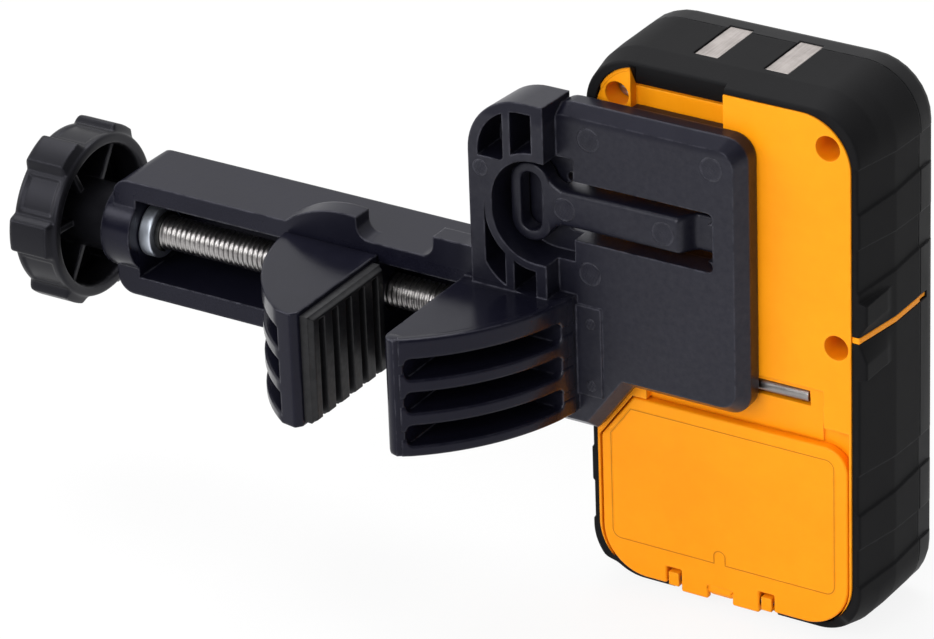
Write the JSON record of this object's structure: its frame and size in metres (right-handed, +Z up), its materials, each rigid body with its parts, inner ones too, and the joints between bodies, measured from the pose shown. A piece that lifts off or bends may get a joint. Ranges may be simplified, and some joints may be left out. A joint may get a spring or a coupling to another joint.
{
  "type": "laser receiver with rod clamp",
  "caption": "Hand-held laser level receiver in a rubber-clad case with a hinged battery door, on a rod clamp whose star knob and screw drive a sliding jaw towards a fixed jaw.",
  "frame": {"origin": "middle of the receiver's bottom face, on the floor", "axes": "+Z up, -Y out of the receiver's back (the clamp's side), +X to the right seen from the back; the clamp's screw runs along X towards -X"},
  "size_m": [0.1992, 0.0735, 0.124],
  "materials": {
    "yellow_plastic": "satin",
    "dark_plastic": "satin",
    "soft_rubber": "matte",
    "magnet_steel": "worn",
    "plain_steel": "plain",
    "bright_steel": "bright",
    "zinc_steel": "zinc plated",
    "dark_steel": "blackened",
    "battery_can": "satin",
    "contact_metal": "plain",
    "board_green": "satin",
    "sensor_dark": "gloss",
    "window_red": "gloss",
    "lcd_grey": "gloss",
    "window_clear": "clear",
    "lens_red": "gloss",
    "grey_plastic": "satin",
    "clamp_plastic": "satin",
    "knob_plastic": "satin",
    "bush_brass": "plain"
  },
  "bodies": {
    "receiver": {"rear_case": "yellow_plastic", "front_case": "dark_plastic", "upper_overmould": "soft_rubber", "lower_overmould": "soft_rubber", "case_gasket": "soft_rubber", "level_marks": "yellow_plastic", "magnet_strips": "magnet_steel", "case_screws": "plain_steel", "rail_pin": "plain_steel", "door_pin": "plain_steel", "nine_volt_battery": "battery_can", "battery_snap": "dark_plastic", "snap_terminals": "contact_metal", "main_board": "board_green", "sensor_strip": "sensor_dark", "sensor_window": "window_red", "lcd_module": "lcd_grey", "lcd_window": "window_clear", "led_lenses": "lens_red", "keypad": "soft_rubber", "buzzer": "dark_plastic", "clamp_bracket": "clamp_plastic", "fixed_jaw_pad": "soft_rubber", "end_bush": "bush_brass"},
    "door": {"battery_door": "yellow_plastic"},
    "latch": {"latch_tongue": "clamp_plastic"},
    "screw": {"clamp_screw": "bright_steel", "thrust_collar": "zinc_steel", "retaining_clip": "dark_steel", "knob": "knob_plastic", "knob_insert": "contact_metal"},
    "jaw": {"moving_jaw": "clamp_plastic", "moving_jaw_pad": "soft_rubber", "jaw_nut": "plain_steel"},
    "power_key": {"power_button": "yellow_plastic"},
    "tone_key": {"tone_button": "grey_plastic"},
    "range_key": {"range_button": "grey_plastic"}
  },
  "joints": [
    {"name": "knob_turn", "type": "hinge", "parent": "receiver", "child": "screw", "pos_m": [-0.1, -0.0185, 0.05945], "axis": [1, 0, 0], "range_deg": [-4830, 8060]},
    {"name": "jaw_slide", "type": "slide", "parent": "receiver", "child": "jaw", "axis": [1, 0, 0], "range_m": [-0.028, 0.0168]},
    {"name": "door_hinge", "type": "hinge", "parent": "receiver", "child": "door", "pos_m": [0, -0.0134, 0.0046], "axis": [1, 0, 0], "range_deg": [0, 88]},
    {"name": "latch_flex", "type": "hinge", "parent": "receiver", "child": "latch", "pos_m": [0.0019, -0.0204, 0.0902], "axis": [0, 0, 1], "range_deg": [0, 5], "stiffness_Nm_per_rad": 0.5},
    {"name": "power_press", "type": "slide", "parent": "receiver", "child": "power_key", "axis": [0, -1, 0], "range_m": [0, 0.001], "stiffness_N_per_m": 300},
    {"name": "tone_press", "type": "slide", "parent": "receiver", "child": "tone_key", "axis": [0, -1, 0], "range_m": [0, 0.001], "stiffness_N_per_m": 300},
    {"name": "range_press", "type": "slide", "parent": "receiver", "child": "range_key", "axis": [0, -1, 0], "range_m": [0, 0.001], "stiffness_N_per_m": 300}
  ],
  "couplings": [
    {"joint": "jaw_slide", "follows": "knob_turn", "m_per_rad": -0.00019894}
  ]
}
